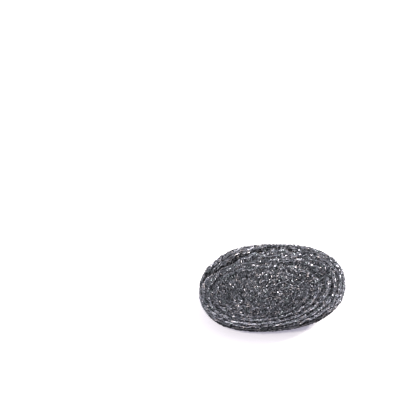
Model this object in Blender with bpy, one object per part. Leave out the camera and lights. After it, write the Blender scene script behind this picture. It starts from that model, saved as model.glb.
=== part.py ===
"""Builds a knitted wire scourer: one knitted sleeve of wire, wound up into a bun and tucked in.

The sleeve's turns show as rounded ridges, which run round the bun from a whorl on the front
shoulder to another whorl low at the back. The bun lies on a small flat spot at z = 0, with the
middle of its bounding box over the origin. Its camera side is -Y. Lengths are in metres.
"""

from math import acos, atan2, cos, exp, hypot, pi, radians, sin

import bmesh
import bpy
from mathutils import Matrix, Vector, noise

# The bun
DIAMETER = 0.0834
THICKNESS = 0.0345
SQUARENESS = 2.3  # power of the section's outline; 2 would be an ellipse
PLAN_SQUARENESS = 2.3  # power of the outline from above; 2 would be a circle
LEAN = 0.065  # radians that the bun leans, its -X side down
FLAT_SPOT_CUT = 0.0017  # how far the underside is pressed flat

# The winding, whose angles are those of a ball that is squashed into the bun
WHORL_TURN = radians(-96.0)  # which way the front whorl faces, seen from above
WHORL_LIFT = radians(29.0)
RIM_LIFT = radians(45.0)  # lift of the axis that the widest turn runs round
TURNS = 20  # ridges from one whorl to the other
TURN_RELIEF = 0.0018  # from the furrow between two turns up to a turn's back
TURN_STARTS = radians(15.0)  # how far from a whorl the ridges begin to rise
TURN_FADE = radians(40.0)  # over how far they reach their full height
TURN_WANDER = radians(2.2)  # how far a turn strays to both sides of its ring

# The knit
STITCHES = 48  # loops that show along each turn
STITCH_RELIEF = 0.0011
SLANT = 0.5  # how far a loop leans along its turn, in half stitches for each row of points
CRUMPLE = 0.0006  # the knit's own unevenness
CRUMPLE_LENGTH = 0.0034

# The lap, a bent line across the top, where the last turn was pulled over and tucked in
LAP_MIDDLE = 0.0168  # its y where x is 0
LAP_SLOPE = 0.12
LAP_FALL = 0.46  # how steeply it falls away to both sides
LAP_ROUNDING = 0.006  # how softly it turns from one side to the other
LAP_GROOVE_DEPTH = 0.0030
LAP_GROOVE_WIDTH = 0.0034
LAP_LIP_HEIGHT = 0.0020
LAP_LIP_WIDTH = 0.0038
BACK_TURN_HEIGHT = 0.0013  # how far the turn behind the lap stands up
BACK_TURN_PLACE = 0.016  # of its back, behind the lap
BACK_TURN_WIDTH = 0.008
LAP_FADES_OVER = 0.045  # how far to the right of its middle the lap has gone
NOTCH_X = -0.004
NOTCH_WIDTH = 0.0034
NOTCH_DEPTH = 0.0024  # of the tuck in the middle of the lap, below the lap's groove

# The hand-wound unevenness of the whole bun
SWELL = 0.0008

# The wire's colour, as linear values
WIRE_COLOUR = (0.30, 0.305, 0.32, 1.0)
WIRE_ROUGHNESS = 0.38

COLUMNS = 2 * STITCHES
ROWS_IN_A_TURN = 3
ROWS = ROWS_IN_A_TURN * TURNS
THINNINGS = 2  # times that the columns are halved on their way to a whorl
FIRST_THINNING = ROWS / 6  # rows from a whorl


def remove_everything():
    """Empties the scene that the script starts in."""
    for thing in list(bpy.data.objects):
        bpy.data.objects.remove(thing, do_unlink=True)


def collection(name):
    """A new collection in the scene."""
    made = bpy.data.collections.new(name)
    bpy.context.scene.collection.children.link(made)
    return made


def wire_material():
    """Plain galvanised wire."""
    made = bpy.data.materials.new("galvanised_wire")
    made.use_nodes = True
    shader = made.node_tree.nodes["Principled BSDF"]
    shader.inputs["Base Color"].default_value = WIRE_COLOUR
    shader.inputs["Metallic"].default_value = 1.0
    shader.inputs["Roughness"].default_value = WIRE_ROUGHNESS
    return made


def smooth(value):
    """0 below 0, 1 above 1, and a soft step between them."""
    value = min(1.0, max(0.0, value))
    return value * value * (3.0 - 2.0 * value)


def bump(distance, width):
    """1 at no distance, fading to nothing over about two widths."""
    return exp(-((distance / width) ** 2))


def ring_axis(from_whorl):
    """The axis that the turn at an angle from the front whorl runs round."""
    lift = WHORL_LIFT + (RIM_LIFT - WHORL_LIFT) * sin(from_whorl)
    flat = cos(lift)
    return Vector((flat * cos(WHORL_TURN), flat * sin(WHORL_TURN), sin(lift)))


def on_the_ball(from_whorl, turn):
    """The direction at an angle from the front whorl and a turn round its axis."""
    stray = 0.6 * sin(2 * turn + 0.7) + 0.4 * sin(3 * turn - 1.1 + 2 * from_whorl)
    from_whorl += TURN_WANDER * stray * sin(from_whorl)
    axis = ring_axis(from_whorl)
    across = Vector((-sin(WHORL_TURN), cos(WHORL_TURN), 0.0))
    upward = axis.cross(across)
    ring = across * cos(turn) + upward * sin(turn)
    return axis * cos(from_whorl) + ring * sin(from_whorl)


def on_the_bun(direction):
    """The point of the smooth bun that a direction of the ball is squashed to."""
    plan = abs(direction.x) ** PLAN_SQUARENESS + abs(direction.y) ** PLAN_SQUARENESS
    flat = plan ** (SQUARENESS / PLAN_SQUARENESS)
    tall = abs(direction.z) ** SQUARENESS
    size = (flat + tall) ** (-1.0 / SQUARENESS)
    across = size * DIAMETER / 2
    return Vector((direction.x * across, direction.y * across, direction.z * size * THICKNESS / 2))


def from_a_whorl(row):
    """How many rows lie between a row of points and the nearer whorl."""
    return min(row, ROWS - row)


def spacing(row):
    """How many columns apart the points of a row lie."""
    apart = 1
    for thinning in range(THINNINGS):
        if from_a_whorl(row) < FIRST_THINNING / 2**thinning:
            apart *= 2
    return apart


def turn_relief(row, column):
    """A turn's back up, with its slanting loops, and the furrow beside it down."""
    fade = smooth((from_a_whorl(row) * pi / ROWS - TURN_STARTS) / TURN_FADE)
    apart = spacing(row)
    net = row if apart > 1 else 0
    stitch = STITCH_RELIEF / 2 if (column // apart + net) % 2 == 0 else -STITCH_RELIEF / 2
    if row % ROWS_IN_A_TURN == 0:
        return -TURN_RELIEF / 2 * fade + stitch * (1.0 - fade)
    return TURN_RELIEF / 2 * fade + stitch


def above_the_rest(place):
    """0 at the underside, where the bun's own weight presses the knit flat, and 1 above it."""
    return smooth(1.0 + 2.0 * place.z / THICKNESS)


def crumple(place):
    """The small rise and fall of the knit."""
    return CRUMPLE * noise.noise(place / CRUMPLE_LENGTH)


def swell(place):
    """The slow rise and fall of a bun wound by hand."""
    turn = atan2(place.y, place.x)
    lift = 3.0 * place.z / THICKNESS
    wave = 0.6 * sin(3 * turn + 0.8 + lift) + 0.4 * sin(5 * turn - 1.1 - 2 * lift)
    from_middle = 2.0 * hypot(place.x, place.y) / DIAMETER
    return SWELL * wave * smooth(2.0 * from_middle)


def lap_line(x):
    """The lap's y at an x."""
    bend = hypot(x, LAP_ROUNDING) - LAP_ROUNDING
    return LAP_MIDDLE + LAP_SLOPE * x - LAP_FALL * bend


def behind_the_lap(place):
    """How far a point lies behind the lap."""
    slope = LAP_SLOPE - LAP_FALL * place.x / hypot(place.x, LAP_ROUNDING)
    return (place.y - lap_line(place.x)) / hypot(1.0, slope)


def lap_share(place):
    """1 where the lap is whole, fading to its right and down the bun's sides."""
    left_over = 1.0 - smooth((place.x - NOTCH_X) / LAP_FADES_OVER)
    return left_over * smooth(place.z / (THICKNESS / 4))


def lap_relief(place):
    """The groove, its lip, the turn behind them and the notch, across the top."""
    behind = behind_the_lap(place)
    groove = -LAP_GROOVE_DEPTH * bump(behind, LAP_GROOVE_WIDTH)
    lip = LAP_LIP_HEIGHT * bump(behind + LAP_LIP_WIDTH, LAP_LIP_WIDTH)
    back_turn = BACK_TURN_HEIGHT * bump(behind - BACK_TURN_PLACE, BACK_TURN_WIDTH)
    notch = -NOTCH_DEPTH * bump(hypot(place.x - NOTCH_X, behind), NOTCH_WIDTH)
    return (groove + lip + back_turn + notch) * lap_share(place)


def ball_of_stitches():
    """A ball whose parallels lie three to a turn and whose meridians are half stitches."""
    made = bmesh.new()
    bmesh.ops.create_uvsphere(made, u_segments=COLUMNS, v_segments=ROWS, radius=1.0)
    grid = {}
    for vertex in made.verts:
        row = round(acos(max(-1.0, min(1.0, vertex.co.z))) / pi * ROWS)
        column = round(atan2(vertex.co.y, vertex.co.x) / (2 * pi) * COLUMNS) % COLUMNS
        grid[vertex] = (row, column)
    return made, grid


def thin_the_columns(made, grid):
    """Takes out columns towards the whorls, so that the points there don't crowd."""
    spare = []
    for edge in made.edges:
        first, second = (grid[vertex] for vertex in edge.verts)
        inner, outer = sorted((first, second), key=lambda point: from_a_whorl(point[0]))
        if inner[0] != outer[0] and outer[1] % spacing(inner[0]):
            spare.append(edge)
    bmesh.ops.dissolve_edges(made, edges=spare, use_verts=True)
    return {vertex: grid[vertex] for vertex in made.verts}


def shape_the_bun(made, grid):
    """Moves the ball's points onto the smooth bun, then out or in by the relief."""
    for vertex, (row, column) in grid.items():
        turn = 2 * pi * (column + SLANT * row) / COLUMNS
        vertex.co = on_the_bun(on_the_ball(pi * row / ROWS, turn))
    made.normal_update()
    moves = {}
    for vertex, (row, column) in grid.items():
        in_the_lap = bump(behind_the_lap(vertex.co), LAP_LIP_WIDTH) * lap_share(vertex.co)
        relief = turn_relief(row, column) * (1.0 - in_the_lap)
        relief += crumple(vertex.co)
        relief += swell(vertex.co)
        relief += lap_relief(vertex.co)
        moves[vertex] = vertex.normal * relief * above_the_rest(vertex.co)
    for vertex, move in moves.items():
        vertex.co += move


def settle(made):
    """Leans the bun, presses its flat spot and stands it over the origin."""
    bmesh.ops.rotate(made, verts=made.verts, matrix=Matrix.Rotation(-LEAN, 3, "Y"))
    lowest = min(vertex.co.z for vertex in made.verts) + FLAT_SPOT_CUT
    for vertex in made.verts:
        vertex.co.z = max(0.0, vertex.co.z - lowest)
    middle = []
    for axis in range(2):
        places = [vertex.co[axis] for vertex in made.verts]
        middle.append((min(places) + max(places)) / 2)
    bmesh.ops.translate(made, verts=made.verts, vec=(-middle[0], -middle[1], 0.0))


def knitted_sleeve(home):
    """The whole scourer, which is one wound and tucked sleeve."""
    made, grid = ball_of_stitches()
    grid = thin_the_columns(made, grid)
    shape_the_bun(made, grid)
    settle(made)
    bmesh.ops.triangulate(made, faces=made.faces)
    bmesh.ops.recalc_face_normals(made, faces=made.faces)
    mesh = bpy.data.meshes.new("knitted_sleeve")
    made.to_mesh(mesh)
    made.free()
    mesh.materials.append(wire_material())
    sleeve = bpy.data.objects.new("knitted_sleeve", mesh)
    home.objects.link(sleeve)
    return sleeve


def main():
    remove_everything()
    knitted_sleeve(collection("metal_scourer"))


main()
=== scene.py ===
"""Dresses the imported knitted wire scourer: loops of flat wire in several turns, on a white table.

The bun's form repeats the part's own sizes, in metres. -Y is the side that faces the camera.
"""

from math import cos, pi, radians, sin

import bmesh
import bpy
import numpy as np
from bpy.props import FloatProperty, FloatVectorProperty, IntProperty, PointerProperty
from mathutils import Euler, Matrix, Vector, noise


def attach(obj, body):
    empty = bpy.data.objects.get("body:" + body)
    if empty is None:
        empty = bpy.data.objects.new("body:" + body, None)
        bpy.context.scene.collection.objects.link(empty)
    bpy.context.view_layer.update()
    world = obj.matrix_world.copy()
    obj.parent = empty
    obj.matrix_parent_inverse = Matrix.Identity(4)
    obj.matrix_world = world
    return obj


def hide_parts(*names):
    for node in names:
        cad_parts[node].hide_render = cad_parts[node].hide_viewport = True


bl_info = {
    "name": "Knitted wire scourer",
    "version": (1, 1, 0),
    "blender": (4, 5, 0),
    "location": "3D View > Sidebar > Scourer",
    "description": "Builds a knitted wire scourer from loops of wire, with its table, lamps and camera",
    "category": "Mesh",
}

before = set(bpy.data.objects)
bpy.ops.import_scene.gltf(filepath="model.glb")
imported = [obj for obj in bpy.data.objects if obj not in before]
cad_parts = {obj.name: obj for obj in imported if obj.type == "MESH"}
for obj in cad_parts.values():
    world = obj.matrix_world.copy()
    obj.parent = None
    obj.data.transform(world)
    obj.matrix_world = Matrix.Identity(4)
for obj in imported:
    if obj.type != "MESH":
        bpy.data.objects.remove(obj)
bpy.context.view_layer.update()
SLEEVE = "knitted_sleeve"

# The scourer's outline in the photograph's frame, in pixels
PHOTO_SIDE = 416
OUTLINE_LEFT = 198.6
OUTLINE_RIGHT = 346.0
OUTLINE_TOP = 244.4
OUTLINE_BOTTOM = 331.0

# The lap, the furrows and the unevenness of the bun, as in the part
LAP_MIDDLE = 0.0168
LAP_SLOPE = 0.12
LAP_FALL = 0.46
LAP_ROUNDING = 0.006
LAP_GROOVE_DEPTH = 0.0030
LAP_GROOVE_WIDTH = 0.0034
LAP_LIP_HEIGHT = 0.0020
LAP_LIP_WIDTH = 0.0038
BACK_TURN_HEIGHT = 0.0013
BACK_TURN_PLACE = 0.016
BACK_TURN_WIDTH = 0.008
LAP_FADES_OVER = 0.045
LAP_LOW = 0.25
NOTCH_X = -0.004
NOTCH_WIDTH = 0.0034
NOTCH_DEPTH = 0.0024
CRUMPLE = 0.0006
CRUMPLE_LENGTH = 0.0034
SWELL = 0.0008
SWELL_TWIST = 3.0
SWELL_RISE = 4.0
FURROW_NARROWNESS = 3

# Waves round the bun: their share, how many there are, their phase and how they turn on the way along it
STRAY_WAVES = ((0.6, 2, 0.7, 0), (0.4, 3, -1.1, 2))
SWELL_WAVES = ((0.6, 3, 0.8, 1), (0.4, 5, -1.1, -2))

# How finely the bun is measured: steps from whorl to whorl and round, rounds for an angle, and how near a
# place may come to the middle of a side and to the rim of the upper side
BUN_STEPS = 181
BUN_SPOTS = 240
ANGLE_ROUNDS = 6
LEAST_ACROSS = 1e-6
MOST_ACROSS = 0.999

# How much darker the wire's colour is painted in the furrows and underneath, as painted shade, and how far
# down its outside faces there
FURROW_SHADE = 0.1
UNDER_SHADE = 0.75
UNDER_FROM = 0.25
UNDER_OVER = 0.35

# Painted shade and light in the wire's colour: the dark hollow behind the lap's lip, the dimmer inner wire
# behind it and the light on the lip, in metres behind the lap
HOLLOW_SHADE = 0.6
HOLLOW_PLACE = 0.0030
HOLLOW_WIDTH = 0.0030
BACK_SHADE = 0.5
LIP_LIGHT = 0.5
LIP_PLACE = -0.0045
LIP_WIDTH = 0.0016


class ScourerForm(bpy.types.PropertyGroup):
    """The wound bun."""

    diameter: FloatProperty(
        name="Diameter", description="Across the bun, without its ridges", default=0.0834, unit="LENGTH"
    )
    thickness: FloatProperty(
        name="Thickness", description="Through the bun before it is pressed", default=0.0345, unit="LENGTH"
    )
    squareness: FloatProperty(
        name="Squareness", description="Power of the section's outline; 2 is an ellipse", default=2.3
    )
    plan_squareness: FloatProperty(
        name="Plan squareness", description="Power of the outline from above; 2 is a circle", default=2.3
    )
    lean: FloatProperty(
        name="Lean", description="How far its left side hangs lower", default=0.065, unit="ROTATION"
    )
    flat_spot_cut: FloatProperty(
        name="Flat spot", description="How far the underside is pressed flat", default=0.0017, unit="LENGTH"
    )
    whorl_turn: FloatProperty(
        name="Whorl turn", description="Which way the front whorl faces",
        default=radians(-96.0), unit="ROTATION"
    )
    whorl_lift: FloatProperty(
        name="Whorl lift", description="How far up the front whorl faces",
        default=radians(29.0), unit="ROTATION"
    )
    rim_lift: FloatProperty(
        name="Rim lift", description="Lift of the widest turn's axis", default=radians(45.0), unit="ROTATION"
    )
    turns: IntProperty(name="Turns", description="Ridges from one whorl to the other", default=20)
    turn_relief: FloatProperty(
        name="Turn relief", description="From a furrow up to a turn's back", default=0.0018, unit="LENGTH"
    )
    turn_starts: FloatProperty(
        name="Turn start", description="How far from a whorl the ridges begin",
        default=radians(15.0), unit="ROTATION"
    )
    turn_fade: FloatProperty(
        name="Turn fade", description="Over how far the ridges rise", default=radians(40.0), unit="ROTATION"
    )
    turn_wander: FloatProperty(
        name="Turn wander", description="How far a turn strays from its ring",
        default=radians(2.2), unit="ROTATION"
    )


class ScourerKnit(bpy.types.PropertyGroup):
    """The knitted wire."""

    wire_width: FloatProperty(
        name="Wire width", description="Across the flattened wire", default=0.00050, unit="LENGTH"
    )
    wire_thickness: FloatProperty(
        name="Wire thickness", description="Through the flattened wire", default=0.00024, unit="LENGTH"
    )
    loop_bulge: FloatProperty(
        name="Loop bulge", description="How far a loop's head widens, in loops", default=0.13
    )
    loop_slant: FloatProperty(
        name="Loop slant", description="How far a loop leans along its course, in loops", default=0.35
    )
    loop_depth: FloatProperty(
        name="Loop depth", description="How far legs stand before heads", default=0.00035, unit="LENGTH"
    )
    furrow_span: FloatProperty(
        name="Furrow span", description="How far loops span a furrow above its floor",
        default=0.0004, unit="LENGTH"
    )
    wire_twist: FloatProperty(
        name="Wire twist", description="How far the flat wire turns between its strokes",
        default=radians(70.0), unit="ROTATION"
    )


class ScourerLook(bpy.types.PropertyGroup):
    """Colours and view."""

    wire_cool: FloatVectorProperty(
        name="Cool wire", description="Most of the wire", default=(0.79, 0.81, 0.97), subtype="COLOR"
    )
    # The warm wire shows in random stretches and, in part, on the painted glints
    wire_warm: FloatVectorProperty(
        name="Warm wire", description="Its few warm stretches", default=(1.0, 0.92, 0.96), subtype="COLOR"
    )
    # The inner turns' colour is painted shade, near-black where the deep wire lies in shadow
    inner_painted_shade: FloatVectorProperty(
        name="Inner turns", description="The turns deep inside", default=(0.02, 0.02, 0.023), subtype="COLOR"
    )
    camera_elevation: FloatProperty(
        name="Camera elevation", description="Above the table", default=radians(23.5), unit="ROTATION"
    )
    camera_roll: FloatProperty(
        name="Camera roll", description="The camera leans to one side", default=radians(-2.1), unit="ROTATION"
    )
    lens: FloatProperty(name="Lens", description="Focal length in millimetres", default=135.0)


def smooth(value):
    """0 below 0, 1 above 1, and a soft step between them."""
    value = np.clip(value, 0.0, 1.0)
    return value * value * (3.0 - 2.0 * value)


def bump(distance, width):
    """1 at no distance, fading to nothing over about two widths."""
    return np.exp(-((distance / width) ** 2))


def waves(table, about, along):
    """The sum of a table's waves at an angle about the bun and a place along it."""
    return sum(share * np.sin(count * about + phase + twist * along) for share, count, phase, twist in table)


def lap_line(x):
    """The lap's y at an x."""
    return LAP_MIDDLE + LAP_SLOPE * x - LAP_FALL * (np.hypot(x, LAP_ROUNDING) - LAP_ROUNDING)


class Bun:
    """The wound bun that the knit lies on, as a surface over directions of a ball."""

    def __init__(self, form):
        self.form = form
        self.facing = np.array((cos(form.whorl_turn), sin(form.whorl_turn), 0.0))
        self.across = np.array((-sin(form.whorl_turn), cos(form.whorl_turn), 0.0))
        self.up = np.array((0.0, 0.0, 1.0))
        self.shift = np.zeros(3)
        from_whorl, turn = np.meshgrid(np.linspace(0.0, pi, BUN_STEPS), np.linspace(0.0, 2 * pi, BUN_SPOTS))
        outer = self.place(self.direction(from_whorl.ravel(), turn.ravel()), 0.0)
        low, high = outer.min(axis=0), outer.max(axis=0)
        middle = (low + high) / 2
        self.shift = -np.array((middle[0], middle[1], low[2] + form.flat_spot_cut))

    def axis_and_upward(self, from_whorl):
        """The axis of the ring at an angle from the front whorl, and what is upward on it."""
        form = self.form
        lift = form.whorl_lift + (form.rim_lift - form.whorl_lift) * np.sin(from_whorl)
        lift = lift[..., None]
        axis = np.cos(lift) * self.facing + np.sin(lift) * self.up
        return axis, np.cos(lift) * self.up - np.sin(lift) * self.facing

    def stray(self, from_whorl, turn):
        """How far a turn of the winding strays from its ring."""
        return self.form.turn_wander * waves(STRAY_WAVES, turn, from_whorl) * np.sin(from_whorl)

    def direction(self, from_whorl, turn):
        """The direction at an angle from the front whorl and a turn round its axis."""
        from_whorl = from_whorl + self.stray(from_whorl, turn)
        axis, upward = self.axis_and_upward(from_whorl)
        turn, from_whorl = turn[..., None], from_whorl[..., None]
        ring = self.across * np.cos(turn) + upward * np.sin(turn)
        return axis * np.cos(from_whorl) + ring * np.sin(from_whorl)

    def angle_of(self, direction):
        """The angle from the front whorl at which a direction lies in the winding."""
        angle = np.full(direction.shape[:-1], pi / 2)
        for _ in range(ANGLE_ROUNDS):
            axis, upward = self.axis_and_upward(angle)
            angle = np.arccos(np.clip(np.sum(direction * axis, axis=-1), -1.0, 1.0))
        turn = np.arctan2(np.sum(direction * upward, axis=-1), direction @ self.across)
        return angle - self.stray(angle, turn)

    def across_the_plan(self, x, y):
        """How far out a place lies in the rounded square that the bun is from above."""
        power = self.form.plan_squareness
        return (np.abs(x) ** power + np.abs(y) ** power) ** (1.0 / power)

    def plain(self, direction):
        """The point of the smooth bun that a direction is squashed to."""
        form = self.form
        flat = self.across_the_plan(direction[..., 0], direction[..., 1]) ** form.squareness
        tall = np.abs(direction[..., 2]) ** form.squareness
        size = (flat + tall) ** (-1.0 / form.squareness)
        halves = np.array((form.diameter, form.diameter, form.thickness)) / 2
        return direction * size[..., None] * halves

    def normal(self, plain):
        """The smooth bun's outward normal at one of its points."""
        form = self.form
        place = plain * 2.0 / np.array((form.diameter, form.diameter, form.thickness))
        power, plan_power = form.squareness, form.plan_squareness
        across = np.maximum(LEAST_ACROSS, self.across_the_plan(place[..., 0], place[..., 1]))
        signs, sizes = np.sign(place), np.abs(place)
        flat = signs[..., :2] * sizes[..., :2] ** (plan_power - 1.0)
        flat = flat * across[..., None] ** (power - plan_power)
        upward = signs[..., 2:] * sizes[..., 2:] ** (power - 1.0)
        normal = np.concatenate((flat / form.diameter, upward / form.thickness), axis=-1)
        return normal / np.linalg.norm(normal, axis=-1, keepdims=True)

    def furrow(self, angle):
        """1 in the middle of the furrow between two turns, 0 on their backs."""
        return (0.5 + 0.5 * np.cos(2 * self.form.turns * angle)) ** FURROW_NARROWNESS

    def wound(self, angle):
        """0 near a whorl, and 1 where the turns lie side by side as full ridges."""
        return smooth((np.minimum(angle, pi - angle) - self.form.turn_starts) / self.form.turn_fade)

    def ridge(self, angle):
        """The rounded back of a turn and the narrow furrow beside it."""
        return self.form.turn_relief * (0.5 - self.furrow(angle)) * self.wound(angle)

    def behind_the_lap(self, plain):
        """How far points lie behind the lap, and how whole the lap is there."""
        x, y, z = plain[..., 0], plain[..., 1], plain[..., 2]
        slope = LAP_SLOPE - LAP_FALL * x / np.hypot(x, LAP_ROUNDING)
        share = 1.0 - smooth((x - NOTCH_X) / LAP_FADES_OVER)
        return (y - lap_line(x)) / np.hypot(1.0, slope), share * smooth(z / (LAP_LOW * self.form.thickness))

    def unpressed(self, z):
        """0 at the underside, which the table presses flat, and 1 from half the height up."""
        return smooth(1.0 + 2.0 * z / self.form.thickness)

    def on_top(self, x, y):
        """The direction that is squashed to a place on the bun's upper side."""
        half = self.form.diameter / 2
        across = np.minimum(MOST_ACROSS, self.across_the_plan(x / half, y / half))
        inwards = across ** self.form.squareness
        direction = np.stack((x / half, y / half, (1.0 - inwards) ** (1.0 / self.form.squareness)), axis=-1)
        return direction / np.linalg.norm(direction, axis=-1, keepdims=True)

    def shade(self, direction, stands_out):
        """Painted shade and light for the wire's colour: little in furrows, in the lap and behind it, and
        underneath, and lighter on the lip.
        """
        plain = self.plain(direction)
        angle = self.angle_of(direction)
        behind, share = self.behind_the_lap(plain)
        furrow = self.furrow(angle) * self.wound(angle) ** 2
        hollow = bump(behind - HOLLOW_PLACE, HOLLOW_WIDTH) * share
        back = smooth(behind / LAP_GROOVE_WIDTH) * share * (0.0 if stands_out else 1.0)
        under = smooth((-self.normal(plain)[..., 2] - UNDER_FROM) / UNDER_OVER)
        shade = (1.0 - FURROW_SHADE * furrow) * (1.0 - HOLLOW_SHADE * hollow)
        shade = shade * (1.0 + LIP_LIGHT * bump(behind - LIP_PLACE, LIP_WIDTH) * share)
        return shade * (1.0 - BACK_SHADE * back) * (1.0 - UNDER_SHADE * under)

    def relief(self, direction, plain):
        """Turns, lap, crumples and swell, all of them pressed flat underneath."""
        form = self.form
        x, y, z = plain[..., 0], plain[..., 1], plain[..., 2]
        behind, share = self.behind_the_lap(plain)
        lap = -LAP_GROOVE_DEPTH * bump(behind, LAP_GROOVE_WIDTH)
        lap = lap + LAP_LIP_HEIGHT * bump(behind + LAP_LIP_WIDTH, LAP_LIP_WIDTH)
        lap = lap + BACK_TURN_HEIGHT * bump(behind - BACK_TURN_PLACE, BACK_TURN_WIDTH)
        lap = lap - NOTCH_DEPTH * bump(np.hypot(x - NOTCH_X, behind), NOTCH_WIDTH)
        in_the_lap = bump(behind, LAP_LIP_WIDTH) * share
        about = np.arctan2(y, x)
        wave = waves(SWELL_WAVES, about, SWELL_TWIST * z / form.thickness)
        swell = SWELL * wave * smooth(SWELL_RISE * np.hypot(x, y) / form.diameter)
        crumple = CRUMPLE * np.array([noise.noise(Vector(point) / CRUMPLE_LENGTH) for point in plain])
        total = self.ridge(self.angle_of(direction)) * (1.0 - in_the_lap) + lap * share + swell + crumple
        return total * self.unpressed(z)

    def place(self, direction, offset):
        """Points of the settled bun, an offset out along its normal."""
        plain = self.plain(direction)
        out = self.relief(direction, plain) + offset
        points = plain + self.normal(plain) * out[..., None]
        c, s = cos(self.form.lean), sin(self.form.lean)
        x, y, z = points[..., 0], points[..., 1], points[..., 2]
        return np.stack((c * x - s * z, y, s * x + c * z), axis=-1) + self.shift


class Socket:
    """A shader socket that does sums."""

    def __init__(self, tree, socket):
        self.tree = tree
        self.socket = socket

    def sum(self, operation, *others, backwards=False):
        """This socket and others, or plain numbers, through a math node."""
        values = [self, *others]
        if backwards:
            values.reverse()
        return self.tree.node("ShaderNodeMath", {"operation": operation}, dict(enumerate(values)))

    def __add__(self, other):
        return self.sum("ADD", other)

    def __radd__(self, other):
        return self.sum("ADD", other, backwards=True)

    def __sub__(self, other):
        return self.sum("SUBTRACT", other)

    def __rsub__(self, other):
        return self.sum("SUBTRACT", other, backwards=True)

    def __mul__(self, other):
        return self.sum("MULTIPLY", other)

    def __rmul__(self, other):
        return self.sum("MULTIPLY", other, backwards=True)


class Tree:
    """The nodes of a material or a world."""

    def __init__(self, owner, shader):
        owner.use_nodes = True
        self.nodes = owner.node_tree.nodes
        self.links = owner.node_tree.links
        self.shader = self.nodes[shader]

    def node(self, kind, settings=None, values=None, output=0):
        """A node of a kind, with its settings first and then its sockets' values or links."""
        made = self.nodes.new(kind)
        for name, setting in (settings or {}).items():
            if name == "stops":
                self.stops(made.color_ramp, setting)
            else:
                setattr(made, name, setting)
        for name, value in (values or {}).items():
            self.feed(made.inputs[name], value)
        return Socket(self, made.outputs[output])

    def stops(self, ramp, places):
        """A ramp's stops as pairs of a place and a grey value or a colour."""
        while len(ramp.elements) < len(places):
            ramp.elements.new(0.5)
        for element, (place, value) in zip(ramp.elements, places):
            element.position = place
            element.color = (*value, 1.0) if hasattr(value, "__len__") else (value, value, value, 1.0)

    def feed(self, socket, value):
        """Links a socket to another one, or sets its value."""
        if isinstance(value, Socket):
            self.links.new(value.socket, socket)
        else:
            socket.default_value = value

    def noise(self, place, scale):
        """Noise of about 0.5, with so many grains a metre."""
        values = {"Vector": place, "Scale": scale, "Detail": 1.0, "Roughness": 0.5}
        return self.node("ShaderNodeTexNoise", None, values)

    def ramp(self, factor, places):
        """The grey or colour that a ramp holds at a factor."""
        return self.node("ShaderNodeValToRGB", {"stops": places}, {"Fac": factor})

    def mix(self, factor, first, second, blend="MIX"):
        """Two colours, mixed or multiplied."""
        settings = {"data_type": "RGBA", "blend_type": blend}
        return self.node("ShaderNodeMix", settings, {0: factor, 6: first, 7: second}, output=2)

    def set(self, name, value):
        """Feeds one of the shader's own sockets."""
        self.feed(self.shader.inputs[name], value)

    def of_mesh(self, name):
        """A value that the mesh holds at its points."""
        settings = {"attribute_type": "GEOMETRY", "attribute_name": name}
        return self.node("ShaderNodeAttribute", settings, None, output="Fac")

    def object_place(self):
        """The place on the object, in metres."""
        return self.node("ShaderNodeTexCoord", None, None, output="Object")

    def seen_plainly(self):
        """1 for what the camera, a reflection or a clear thing shows."""
        total = self.node("ShaderNodeLightPath", None, None, output="Is Camera Ray")
        for name in ("Is Glossy Ray", "Is Transmission Ray"):
            other = self.node("ShaderNodeLightPath", None, None, output=name)
            total = total.sum("MAXIMUM", other)
        return total


def with_alpha(colour, strength=1.0):
    """A colour at a strength, as a socket wants it."""
    return (*(strength * part for part in colour), 1.0)


# The wire: grains a metre of its rubbed spots and tints; its strokes' brightness, a random dull-to-bright
# tone with painted glints from their gleam and from the rubbed spots; its tint, warm in part with the painted
# glints; and its roughness where it isn't rubbed
RUBBED_AND_GLINT_GRAIN = 2600.0
TINT_GRAIN = 420.0
GLEAM_SHARE = 0.6
RUBBED_GLINT_SHARE = 0.6
LIGHT_OFFSET = 0.1
LIGHT_STOPS = ((0.05, 0.13), (0.40, 0.22), (0.62, 0.36), (0.76, 0.54), (0.84, 0.66))
TINT_OF_NOISE = 0.7
TINT_OF_GLEAM = 0.3
BLUE_WIRE = (0.80, 0.92, 1.0)
BRIGHTNESS = 0.86
DULL_ROUGHNESS = 0.49
RUBBED_SMOOTHNESS = 0.2

# The inner turns, painted near-black as shade: cells a metre, the edge between them, how dark the painted
# shade between the strands is, and how far the edge stands out
INNER_CELLS = 620.0
INNER_STRANDS = ((0.04, 1.0), (0.14, 0.0))
INNER_BETWEEN = 0.35
INNER_HEIGHT = 0.0006


def wire_material(look, name, strength):
    """Flat galvanised wire: mostly dull, with painted glints on bright strokes that differ a little in
    colour, and painted shade from the mesh.
    """
    material = bpy.data.materials.new(name)
    tree = Tree(material, "Principled BSDF")
    place = tree.object_place()
    gleam = tree.of_mesh("gleam")
    rubbed_and_glint = tree.noise(place, RUBBED_AND_GLINT_GRAIN)
    # Painted glints: the strokes' gleam and the rubbed spots brighten the colour as if the wire caught the
    # light
    light = tree.ramp(gleam * GLEAM_SHARE + rubbed_and_glint * RUBBED_GLINT_SHARE - LIGHT_OFFSET, LIGHT_STOPS)
    tint = tree.ramp(tree.noise(place, TINT_GRAIN) * TINT_OF_NOISE + gleam * TINT_OF_GLEAM, (
        (0.30, BLUE_WIRE), (0.44, look.wire_cool), (0.58, look.wire_cool), (0.70, look.wire_warm)
    ))
    # The painted shade from the mesh and the painted glints multiply the tint
    shaded = tree.mix(1.0, tint, tree.of_mesh("shade") * light, "MULTIPLY")
    # A deeper layer's lower strength is painted shade
    tree.set("Base Color", tree.mix(1.0, shaded, with_alpha((BRIGHTNESS * strength,) * 3), "MULTIPLY"))
    tree.set("Roughness", DULL_ROUGHNESS - rubbed_and_glint * RUBBED_SMOOTHNESS)
    tree.set("Metallic", 1.0)
    return material


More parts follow.
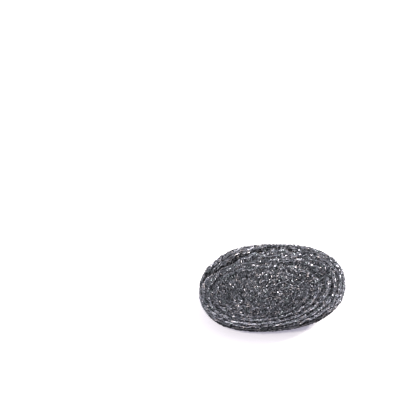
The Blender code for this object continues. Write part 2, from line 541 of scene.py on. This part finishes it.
def inner_material(look):
    """The turns deep inside, painted near-black as shade, and darker still between their own loops."""
    material = bpy.data.materials.new("inner_turns")
    tree = Tree(material, "Principled BSDF")
    place = tree.object_place()
    settings = {"feature": "DISTANCE_TO_EDGE"}
    cells = tree.node("ShaderNodeTexVoronoi", settings, {"Vector": place, "Scale": INNER_CELLS})
    strands = tree.ramp(cells, INNER_STRANDS)
    dark = with_alpha(look.inner_painted_shade, INNER_BETWEEN)
    tree.set("Base Color", tree.mix(strands, dark, with_alpha(look.inner_painted_shade)))
    tree.set("Roughness", 0.62)
    tree.set("Metallic", 0.8)
    height = {"Strength": 0.8, "Distance": INNER_HEIGHT, "Height": strands}
    tree.set("Normal", tree.node("ShaderNodeBump", None, height))
    return material


# The courses on each wound turn, as their place on it and half height in turns, their loops' width and
# their painted light. The wider the loops, the more the wire is drawn out into a line along the ridge.
CREST_COURSES = ((0.40, 0.13, 0.0038, 1.05), (0.30, 0.04, 0.0120, 1.2), (0.55, 0.05, 0.0120, 1.5))
SIDE_COURSES = ((0.09, 0.19, 0.0026, 0.8), (0.76, 0.21, 0.0026, 0.8))

# The finer courses about the whorls: their places, which alternate between the two layers, then their half
# height, their loops' width and their painted light, and a drawn-out one on each turn as a row of the table
# above
FINE_PLACES = {"turn_crests": (0.1, 0.5, 0.9), "turn_sides": (0.3, 0.7)}
FINE_COURSE = (0.13, 0.0022, 0.72)
FINE_LINE = (0.55, 0.06, 0.0050, 1.0)

# How wound a turn is from which on it has the courses of wound turns
WOUND_FROM = 0.4

# How uneven the loops are: near the whorls, on wound turns and in the layers below
FINE_MESS = 1.0
WOUND_MESS = 0.6
BELOW_MESS = 1.5

# How far loops differ in half height, place along and across the course (in loops and half heights),
# bulge, and place out from the bun in metres
HEIGHT_JITTER = 0.16
ALONG_JITTER = 0.16
ACROSS_JITTER = 0.15
BULGE_JITTER = 0.03
OUT_JITTER = 0.00018

# A straight stroke of flat wire gets one painted glint, as if it caught the light as one, a loop is bent from
# so many of them, and the higher the power, the fewer of them are painted bright
STROKES_IN_A_LOOP = 5
GLEAM_POWER = 1.2

# Wider loops than this keep its bulge and slant instead of growing them, and a course has at least so many
LONGEST_ROUND_LOOP = 0.0045
LEAST_LOOPS = 5

# The clear room about a pole, and how far a layer's inset lifts its wires off the table
POLE_MARGIN = 0.01
TABLE_INSET = 0.6

# How finely a layer's own rings are measured, and how much of its height a course fills
RING_STEPS = 400
RING_SPOTS = 24
LENGTH_STEPS = 97
COURSE_FILL = 0.92


class Layer:
    """Courses of wire that lie equally deep: how they are turned and how finely they are drawn."""

    def __init__(self, name, inset, seed, steps, strength, places=None, axis=None, course_height=None):
        self.name = name
        self.inset = inset
        self.seed = seed
        self.steps = steps
        self.strength = strength
        self.places = places
        self.axis = axis
        self.course_height = course_height
        self.stands_out = places is CREST_COURSES


def wound_rings(bun, layer):
    """Courses on each turn, as angles from the whorl, half heights, loop widths, mess and painted light."""
    pitch = pi / bun.form.turns
    rings = []
    for turn in range(bun.form.turns):
        courses = [(place, *FINE_COURSE) for place in FINE_PLACES[layer.name]]
        if bun.wound((turn + 0.5) * pitch) > WOUND_FROM:
            courses = layer.places
        for place, reach, width, light in courses:
            angle = (turn + place) * pitch
            fade = float(bun.wound(angle))
            rim = [fine + (wound - fine) * fade for fine, wound in zip(FINE_COURSE, (reach, width, light))]
            mess = FINE_MESS + (WOUND_MESS - FINE_MESS) * fade
            rings.append((angle, rim[0] * pitch, rim[1], mess, rim[2]))
        if layer.stands_out and courses is not layer.places:
            place, reach, width, light = FINE_LINE
            rings.append(((turn + place) * pitch, reach * pitch, width, FINE_MESS, light))
    return rings


def even_rings(bun, layer):
    """Courses of about one height round a layer's own axis."""
    angles = np.linspace(0.0, pi, RING_STEPS)
    spots = np.linspace(0.0, 2 * pi, RING_SPOTS, endpoint=False)
    lines = []
    for spot in spots:
        lines.append(bun.plain(layer_direction(bun, layer, angles, np.full_like(angles, spot))))
    lengths = [np.linalg.norm(np.diff(line, axis=0), axis=1) for line in lines]
    along = np.concatenate(([0.0], np.cumsum(np.mean(lengths, axis=0))))
    count = round(along[-1] / layer.course_height)
    borders = np.interp(np.arange(2 * count + 1) / (2 * count) * along[-1], along, angles)
    rings = []
    for course in range(count):
        middle, reach = borders[2 * course + 1], borders[2 * course + 2] - borders[2 * course]
        rings.append((middle, COURSE_FILL * reach, layer.course_height, BELOW_MESS, 1.0))
    return rings


def layer_direction(bun, layer, angle, turn):
    """The direction at an angle from a layer's pole and a turn round it."""
    if layer.places:
        return bun.direction(angle, turn)
    pole = Vector(layer.axis).normalized()
    turned = np.array(pole.to_track_quat("Z", "Y").to_matrix())
    flat = np.sin(angle)
    ball = np.stack((flat * np.cos(turn), flat * np.sin(turn), np.cos(angle)), axis=-1)
    return ball @ turned.T


def ring_length(bun, layer, angle):
    """How long a layer's ring at an angle from its pole is."""
    turn = np.linspace(0.0, 2 * pi, LENGTH_STEPS)
    ring = bun.plain(layer_direction(bun, layer, np.full_like(turn, angle), turn))
    return float(np.sum(np.linalg.norm(np.diff(ring, axis=0), axis=1)))


def between(values, along):
    """Loops' values at places along their course, evened out between neighbours."""
    return np.interp(along % len(values), np.arange(len(values) + 1), np.append(values, values[0]))


def course_line(bun, knit, layer, ring, generator):
    """One course of loops right round the bun: its middle line and its tilt, painted light and shade, and
    painted glint.
    """
    angle, reach, loop_width, mess, share_of_light = ring
    loops = max(LEAST_LOOPS, round(ring_length(bun, layer, angle) / loop_width))
    along = np.arange(loops * layer.steps) / layer.steps
    swing = 2 * pi * along

    def jitter(spread):
        return between(generator.normal(0.0, spread * mess, loops), along)

    height = reach * (1.0 + jitter(HEIGHT_JITTER)) * np.cos(swing)
    rounded = min(1.0, LONGEST_ROUND_LOOP / loop_width)
    bulge = knit.loop_bulge + jitter(BULGE_JITTER)
    slant = knit.loop_slant * np.cos(swing) / 2
    loop = along + rounded * (bulge * np.sin(2 * swing) - slant + jitter(ALONG_JITTER))
    turn = 2 * pi * (loop + generator.uniform()) / loops
    angles = np.clip(angle + height + reach * jitter(ACROSS_JITTER), POLE_MARGIN, pi - POLE_MARGIN)
    direction = layer_direction(bun, layer, angles, turn)
    above = bun.unpressed(bun.plain(direction)[..., 2])
    out = above * (jitter(OUT_JITTER) - knit.loop_depth * np.cos(2 * swing)) - layer.inset
    if layer.places:
        at = bun.angle_of(direction)
        out = out + above * knit.furrow_span * bun.furrow(at) * bun.wound(at)
    points = bun.place(direction, out)
    points[:, 2] = np.maximum(points[:, 2], knit.wire_width / 2 + TABLE_INSET * layer.inset)
    strokes = STROKES_IN_A_LOOP * loops
    stroke = (STROKES_IN_A_LOOP * along + generator.uniform()).astype(int) % strokes
    gleam = generator.uniform(0.0, 1.0, strokes)[stroke] ** GLEAM_POWER
    twist = generator.normal(0.0, knit.wire_twist, strokes)[stroke]
    shade = share_of_light * bun.shade(direction, layer.stands_out)
    return points, twist, shade, gleam


# Wires along the lap: their place behind it, half height, lean, loops' width, painted light, and the ends of
# their run in x. Three lie on its lip and two on the turn behind it.
LAP_WIRES = (
    (-0.0012, 0.0007, 0.0, 0.0035, 1.0, (-0.037, 0.034)),
    (-0.0026, 0.0009, 0.0, 0.0035, 1.0, (-0.037, 0.034)),
    (-0.0042, 0.0010, 0.0, 0.0035, 1.0, (-0.037, 0.034)),
    (0.0070, 0.0022, 0.7, 0.0060, 0.6, (-0.034, -0.002)),
    (0.0130, 0.0024, 0.7, 0.0060, 0.55, (-0.030, -0.002)),
)
LAP_STEPS = 12
LAP_STROKES_IN_A_LOOP = 2

# How far apart a lap wire's two ways lie and how far out, and how far its loops differ in phase, along and
# across the lap and out from it
LAP_WAYS_APART = 0.0004
LAP_OUT = 0.0003
LAP_PHASE_JITTER = 0.6
LAP_ALONG_JITTER = 0.0004
LAP_ACROSS_JITTER = 0.0003
LAP_OUT_JITTER = 0.0002

# The least painted glint of a lap wire's strokes, and its painted light where the lap has faded and where it
# is whole
LAP_LEAST_GLEAM = 0.2
LAP_FADED_LIGHT = 0.5
LAP_WHOLE_LIGHT = 1.2


def lap_wire(bun, knit, behind, reach, lean, loop_width, light, ends, generator):
    """A wire along the lap and back again, in low loops that lean the same way."""
    loops = round(2 * (ends[1] - ends[0]) / loop_width)
    along = np.arange(loops * LAP_STEPS) / LAP_STEPS

    def jitter(spread):
        return between(generator.normal(0.0, spread, loops), along)

    to_the_right = 1.0 - np.abs(1.0 - 2.0 * along / loops)
    height = reach * np.cos(2 * pi * along + jitter(LAP_PHASE_JITTER))
    x = ends[0] + (ends[1] - ends[0]) * to_the_right
    away = behind + LAP_WAYS_APART * np.sign(np.sin(2 * pi * along / loops)) + height
    x_of_wire = x + lean * height + jitter(LAP_ALONG_JITTER)
    y_of_wire = lap_line(x) + away + jitter(LAP_ACROSS_JITTER)
    direction = bun.on_top(x_of_wire, y_of_wire)
    points = bun.place(direction, LAP_OUT + jitter(LAP_OUT_JITTER))
    gleams = generator.uniform(LAP_LEAST_GLEAM, 1.0, LAP_STROKES_IN_A_LOOP * loops)
    gleam = gleams[(LAP_STROKES_IN_A_LOOP * along).astype(int) % len(gleams)]
    share = bun.behind_the_lap(bun.plain(direction))[1]
    shade = light * (LAP_FADED_LIGHT + (LAP_WHOLE_LIGHT - LAP_FADED_LIGHT) * share)
    return points, jitter(knit.wire_twist), shade, gleam


# The flat wire's section has so many corners, so each step of a wire has so many faces of four corners
SECTION_CORNERS = 3
FACE_CORNERS = 4

# The room on either side of a course's strip on the map, in strips
STRIP_MARGIN = 0.04


def flat_section(knit):
    """The flat wire's section, as a curve to bevel with."""
    section = bpy.data.curves.new("wire_section", "CURVE")
    section.dimensions = "2D"
    corners = section.splines.new("POLY")
    corners.points.add(SECTION_CORNERS - 1)
    half_width, half_thickness = knit.wire_width / 2, knit.wire_thickness / 2
    places = ((half_width, -half_thickness), (-half_width, -half_thickness), (0.0, half_thickness))
    for point, place in zip(corners.points, places):
        point.co = (*place, 0.0, 1.0)
    corners.use_cyclic_u = True
    drawn = bpy.data.objects.new("wire_section", section)
    bpy.context.scene.collection.objects.link(drawn)
    return drawn


def wire_layer(bun, knit, layer, material, section):
    """One layer's loops, each course a closed wire."""
    curve = bpy.data.curves.new(layer.name, "CURVE")
    curve.dimensions = "3D"
    curve.bevel_mode = "OBJECT"
    curve.bevel_object = section
    generator = np.random.default_rng(layer.seed)
    rings = wound_rings(bun, layer) if layer.places else even_rings(bun, layer)
    courses = [course_line(bun, knit, layer, ring, generator) for ring in rings]
    if layer.stands_out:
        courses += [lap_wire(bun, knit, *wire, generator) for wire in LAP_WIRES]
    # Painted shade and painted glints, kept on the mesh for the material
    held = {"shade": [], "gleam": []}
    for points, tilt, shade, gleam in courses:
        held["shade"].append(shade)
        held["gleam"].append(gleam)
        spline = curve.splines.new("POLY")
        spline.points.add(len(points) - 1)
        spline.points.foreach_set("co", np.column_stack((points, np.ones(len(points)))).ravel())
        spline.points.foreach_set("tilt", tilt + generator.uniform(0.0, pi))
        spline.use_cyclic_u = True
        spline.use_smooth = False
    drawn = bpy.data.objects.new(layer.name + "_line", curve)
    bpy.context.scene.collection.objects.link(drawn)
    evaluated = drawn.evaluated_get(bpy.context.evaluated_depsgraph_get())
    mesh = bpy.data.meshes.new_from_object(evaluated)
    lengths = [len(spline.points) for spline in curve.splines]
    bpy.data.objects.remove(drawn)
    lay_out_map(mesh, lengths)
    for name, values in held.items():
        made = mesh.attributes.new(name, "FLOAT", "POINT")
        made.data.foreach_set("value", np.repeat(np.concatenate(values), SECTION_CORNERS))
    finished(layer.name, mesh, material)


def lay_out_map(mesh, lengths):
    """Gives each course its own strip of the map named OFBake."""
    made = mesh.uv_layers[0]
    made.name = "OFBake"
    places = np.empty(2 * len(mesh.loops))
    made.uv.foreach_get("vector", places)
    places = places.reshape(-1, 2)
    corners = [FACE_CORNERS * SECTION_CORNERS * length for length in lengths]
    course = np.repeat(np.arange(len(lengths)), corners)
    places[:, 1] = (course + STRIP_MARGIN + (1.0 - 2 * STRIP_MARGIN) * places[:, 1]) / len(lengths)
    made.uv.foreach_set("vector", places.ravel())


def finished(name, mesh, material):
    """A piece that rides on the frame and stands for the sleeve's solid."""
    mesh.name = name
    mesh.materials.clear()
    mesh.materials.append(material)
    piece = bpy.data.objects.new(name, mesh)
    bpy.context.scene.collection.objects.link(piece)
    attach(piece, "root")
    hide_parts(SLEEVE)


# The layers from outside inwards: their name, inset, seed, steps in a loop and brightness, which darkens the
# deeper layers as painted shade, and the courses on each turn or else the axis that even courses go round and
# their height
LAYERS = (
    Layer("turn_crests", 0.0, 3, 12, 1.0, CREST_COURSES),
    Layer("turn_sides", 0.0002, 4, 9, 1.0, SIDE_COURSES),
    Layer("second_turn", 0.0006, 5, 8, 0.6, None, (0.25, 0.35, 1.0), 0.0020),
    Layer("third_turn", 0.0011, 8, 8, 0.4, None, (-1.0, 0.4, 0.3), 0.0022),
    Layer("fourth_turn", 0.0016, 13, 9, 0.3, None, (0.3, -1.0, 0.2), 0.0030),
)
CORE_INSET = 0.0021
CORE_SEGMENTS = 120
CORE_RINGS = 60


class ScourerLayersOperator(bpy.types.Operator):
    """Knits the turns of the sleeve that show"""

    bl_idname = "scourer.wire_layers"
    bl_label = "Wire loops"

    def execute(self, context):
        form = context.scene.scourer_form
        knit = context.scene.scourer_knit
        look = context.scene.scourer_look
        bun = Bun(form)
        section = flat_section(knit)
        for layer in LAYERS:
            material = wire_material(look, layer.name + "_wire", layer.strength)
            wire_layer(bun, knit, layer, material, section)
        bpy.data.objects.remove(section)
        return {"FINISHED"}


class ScourerInnerOperator(bpy.types.Operator):
    """Makes the turns deep inside as one closed body"""

    bl_idname = "scourer.inner_turns"
    bl_label = "Inner turns"

    def execute(self, context):
        bun = Bun(context.scene.scourer_form)
        made = bmesh.new()
        bmesh.ops.create_uvsphere(made, u_segments=CORE_SEGMENTS, v_segments=CORE_RINGS, radius=1.0)
        ball = np.array([vertex.co for vertex in made.verts])
        places = bun.place(ball, np.full(len(ball), -CORE_INSET))
        for vertex, place in zip(made.verts, places):
            vertex.co = place
            vertex.co.z = max(vertex.co.z, TABLE_INSET * CORE_INSET)
        bmesh.ops.recalc_face_normals(made, faces=made.faces)
        mesh = bpy.data.meshes.new("inner_turns")
        made.to_mesh(mesh)
        made.free()
        mesh.shade_smooth()
        finished("inner_turns", mesh, inner_material(context.scene.scourer_look))
        return {"FINISHED"}


# The table: its half width, the grey that lights the object, and its glow by the distance from the middle
TABLE_HALF = 4.0
TABLE_GREY = with_alpha((0.65, 0.65, 0.65))
TABLE_GLOW = ((0.12, (0.36, 0.34, 0.42)), (0.45, (0.60, 0.60, 0.60)))
WHITE = with_alpha((1.0, 1.0, 1.0))

# The light all round: its colour and strength on the object
ROOM_COLOUR = with_alpha((0.93, 0.94, 1.0))
ROOM_STRENGTH = 0.5

# The lamps, all aimed at the middle: name, place, size and power
LAMP_COLOUR = (1.0, 0.94, 0.86)
LAMPS = (
    ("window", (0.8, 0.15, 0.55), 0.2, 13.0),
    ("front", (-0.3, -0.9, 0.55), 0.12, 8.0),
    ("left", (-0.8, -0.4, 0.4), 0.1, 1.0),
)


def white_table():
    """A white floor that keeps the object's shadow."""
    made = bmesh.new()
    bmesh.ops.create_grid(made, x_segments=1, y_segments=1, size=TABLE_HALF)
    mesh = bpy.data.meshes.new("table")
    made.to_mesh(mesh)
    made.free()
    table = bpy.data.objects.new("table", mesh)
    bpy.context.scene.collection.objects.link(table)
    material = bpy.data.materials.new("white_table")
    tree = Tree(material, "Principled BSDF")
    seen = tree.seen_plainly()
    tree.set("Base Color", tree.mix(seen, TABLE_GREY, WHITE))
    tree.set("Roughness", 0.9)
    tree.set("Specular IOR Level", 0.0)
    far = tree.node("ShaderNodeVectorMath", {"operation": "LENGTH"}, {0: tree.object_place()}, output="Value")
    tree.set("Emission Color", tree.ramp(far, TABLE_GLOW))
    tree.set("Emission Strength", seen)
    mesh.materials.append(material)


def white_world():
    """Plain light all round, with a white backdrop for the camera and for reflections."""
    world = bpy.data.worlds.new("white_room")
    bpy.context.scene.world = world
    tree = Tree(world, "Background")
    seen = tree.seen_plainly()
    tree.set("Color", tree.mix(seen, ROOM_COLOUR, WHITE))
    tree.set("Strength", ROOM_STRENGTH + seen * (1.0 - ROOM_STRENGTH))


def lamp(name, place, size, power):
    """A soft square lamp, aimed at the middle."""
    light = bpy.data.lights.new(name, "AREA")
    light.size = size
    light.energy = power
    light.color = LAMP_COLOUR
    made = bpy.data.objects.new(name, light)
    bpy.context.scene.collection.objects.link(made)
    made.location = place
    made.rotation_euler = (-Vector(place)).to_track_quat("-Z", "Y").to_euler()


# The camera: its sensor in millimetres, how near and far it sees, and its first distance, which the rounds
# of aiming then correct
SENSOR_WIDTH = 36.0
CLIP_START = 0.01
CLIP_END = 20.0
FIRST_DISTANCE = 0.9
AIMING_ROUNDS = 8


def aim_camera(look):
    """The camera at the photograph's angle, with the scourer's outline where the photograph has it."""
    data = bpy.data.cameras.new("camera")
    camera = bpy.data.objects.new("camera", data)
    bpy.context.scene.collection.objects.link(camera)
    bpy.context.scene.camera = camera
    data.lens = look.lens
    data.sensor_width = SENSOR_WIDTH
    data.clip_start = CLIP_START
    data.clip_end = CLIP_END
    width_of_view = data.sensor_width / data.lens
    outer = bpy.data.objects[LAYERS[0].name].data
    points = np.empty(3 * len(outer.vertices))
    outer.vertices.foreach_get("co", points)
    points = points.reshape(-1, 3)
    elevation = look.camera_elevation
    middle = Vector((points.min(axis=0) + points.max(axis=0)) / 2)
    away = Vector((0.0, -cos(elevation), sin(elevation)))
    distance = FIRST_DISTANCE
    turn = 0.0
    tilt = pi / 2 - elevation
    pixel = width_of_view / PHOTO_SIDE
    for _ in range(AIMING_ROUNDS):
        camera.location = middle + away * float(distance)
        turned = Euler((tilt, 0.0, turn)).to_matrix() @ Matrix.Rotation(look.camera_roll, 3, "Z")
        camera.rotation_euler = turned.to_euler()
        placed = Matrix.Translation(camera.location) @ camera.rotation_euler.to_matrix().to_4x4()
        inverse = placed.inverted()
        seen = points @ np.array(inverse.to_3x3()).T + np.array(inverse.translation)
        x = (seen[:, 0] / -seen[:, 2] / width_of_view + 0.5) * PHOTO_SIDE
        y = (0.5 - seen[:, 1] / -seen[:, 2] / width_of_view) * PHOTO_SIDE
        distance *= (x.max() - x.min()) / (OUTLINE_RIGHT - OUTLINE_LEFT)
        turn += ((OUTLINE_LEFT + OUTLINE_RIGHT) / 2 - (x.min() + x.max()) / 2) * pixel
        tilt += ((OUTLINE_TOP + OUTLINE_BOTTOM) / 2 - (y.min() + y.max()) / 2) * pixel


class ScourerStageOperator(bpy.types.Operator):
    """Sets the table, the lamps and the camera"""

    bl_idname = "scourer.stage"
    bl_label = "Table, lamps and camera"

    def execute(self, context):
        white_table()
        white_world()
        for values in LAMPS:
            lamp(*values)
        aim_camera(context.scene.scourer_look)
        context.scene.view_settings.view_transform = "Standard"
        return {"FINISHED"}


class ScourerPanel(bpy.types.Panel):
    """Shows the scourer's settings and its buttons"""

    bl_idname = "VIEW3D_PT_scourer"
    bl_label = "Scourer"
    bl_space_type = "VIEW_3D"
    bl_region_type = "UI"
    bl_category = "Scourer"

    def draw(self, context):
        for group in GROUPS:
            box = self.layout.box()
            values = getattr(context.scene, group)
            for name in values.__annotations__:
                box.prop(values, name)
        for operator in OPERATORS:
            self.layout.operator(operator.bl_idname)


GROUPS = {"scourer_form": ScourerForm, "scourer_knit": ScourerKnit, "scourer_look": ScourerLook}
OPERATORS = (ScourerInnerOperator, ScourerLayersOperator, ScourerStageOperator)


def register():
    for made in (*GROUPS.values(), *OPERATORS, ScourerPanel):
        bpy.utils.register_class(made)
    for name, group in GROUPS.items():
        setattr(bpy.types.Scene, name, PointerProperty(type=group))


def unregister():
    for name in GROUPS:
        delattr(bpy.types.Scene, name)
    for made in reversed((*GROUPS.values(), *OPERATORS, ScourerPanel)):
        bpy.utils.unregister_class(made)


def main():
    register()
    bpy.ops.scourer.inner_turns()
    bpy.ops.scourer.wire_layers()
    bpy.ops.scourer.stage()


if __name__ == "__main__":
    main()
